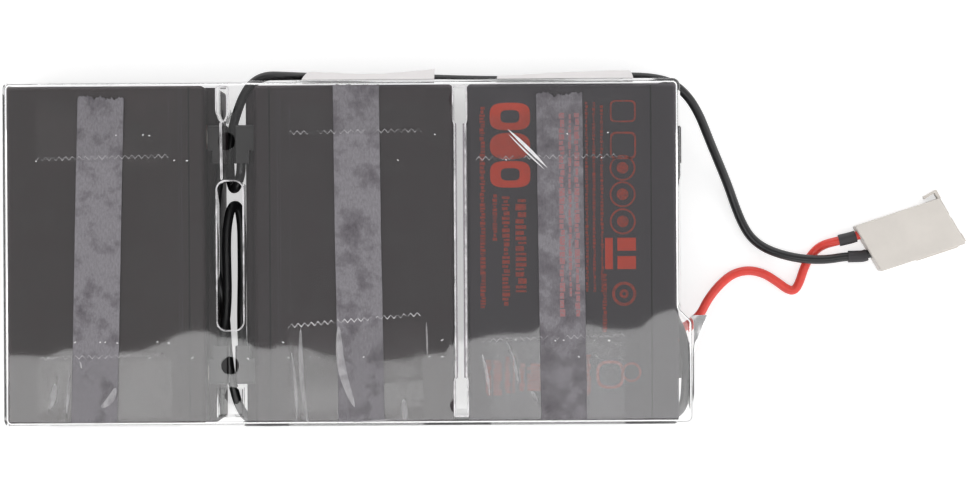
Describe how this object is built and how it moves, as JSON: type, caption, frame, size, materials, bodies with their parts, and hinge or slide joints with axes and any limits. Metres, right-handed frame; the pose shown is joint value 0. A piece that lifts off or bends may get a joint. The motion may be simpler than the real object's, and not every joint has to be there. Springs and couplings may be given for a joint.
{
  "type": "ups battery cartridge",
  "caption": "Side-by-side sealed lead-acid batteries wired in series under a clear thermoformed tray, with red and black leads to a two-pole plug.",
  "frame": {"origin": "on the lowest face, under the middle battery", "axes": "+X along the row of batteries towards the plug, +Y across it, +Z out of the tray's closed face"},
  "size_m": [0.4398, 0.1652, 0.067],
  "materials": {
    "tray_plastic": "clear thermoformed sheet",
    "battery_plastic": "fine moulded grain",
    "lead_plates": "pressed plates and separators",
    "valve_rubber": "soft caps",
    "tinned_brass": "tin plated",
    "red_potting": "cast resin",
    "black_potting": "cast resin",
    "boot_vinyl": "soft vinyl",
    "foam_tape": "grey double-sided tape",
    "clear_tape": "clear packing tape",
    "white_tape": "white adhesive tape",
    "black_insulation": "stranded lead insulation",
    "red_insulation": "stranded lead insulation",
    "black_sleeve": "shrink sleeve",
    "plug_plastic": "natural nylon"
  },
  "bodies": {
    "root": {"tray": "tray_plastic", "battery_1_case": "battery_plastic", "battery_1_lid": "battery_plastic", "battery_1_vent_cover": "battery_plastic", "battery_1_plate_groups": "lead_plates", "battery_1_relief_valves": "valve_rubber", "battery_1_positive_terminal": "tinned_brass", "battery_1_positive_seal": "red_potting", "battery_1_positive_receptacle": "tinned_brass", "battery_1_positive_boot": "boot_vinyl", "battery_1_negative_terminal": "tinned_brass", "battery_1_negative_seal": "black_potting", "battery_1_negative_receptacle": "tinned_brass", "battery_1_negative_boot": "boot_vinyl", "battery_2_case": "battery_plastic", "battery_2_lid": "battery_plastic", "battery_2_vent_cover": "battery_plastic", "battery_2_plate_groups": "lead_plates", "battery_2_relief_valves": "valve_rubber", "battery_2_positive_terminal": "tinned_brass", "battery_2_positive_seal": "red_potting", "battery_2_positive_receptacle": "tinned_brass", "battery_2_positive_boot": "boot_vinyl", "battery_2_negative_terminal": "tinned_brass", "battery_2_negative_seal": "black_potting", "battery_2_negative_receptacle": "tinned_brass", "battery_2_negative_boot": "boot_vinyl", "battery_3_case": "battery_plastic", "battery_3_lid": "battery_plastic", "battery_3_vent_cover": "battery_plastic", "battery_3_plate_groups": "lead_plates", "battery_3_relief_valves": "valve_rubber", "battery_3_positive_terminal": "tinned_brass", "battery_3_positive_seal": "red_potting", "battery_3_positive_receptacle": "tinned_brass", "battery_3_positive_boot": "boot_vinyl", "battery_3_negative_terminal": "tinned_brass", "battery_3_negative_seal": "black_potting", "battery_3_negative_receptacle": "tinned_brass", "battery_3_negative_boot": "boot_vinyl", "pad_tape_1": "foam_tape", "pad_tape_2": "foam_tape", "pad_tape_3": "foam_tape", "clear_band_1": "clear_tape", "clear_band_2": "clear_tape", "clear_band_3": "clear_tape", "white_tape_1": "white_tape", "white_tape_2": "white_tape", "clear_lead_tape": "clear_tape", "loop_jumper": "black_insulation", "long_jumper": "black_insulation", "black_lead": "black_insulation", "red_lead": "red_insulation", "black_sleeve": "black_sleeve", "red_sleeve": "black_sleeve", "plug_housing": "plug_plastic", "plug_contact_red": "tinned_brass", "plug_contact_black": "tinned_brass"}
  },
  "joints": []
}
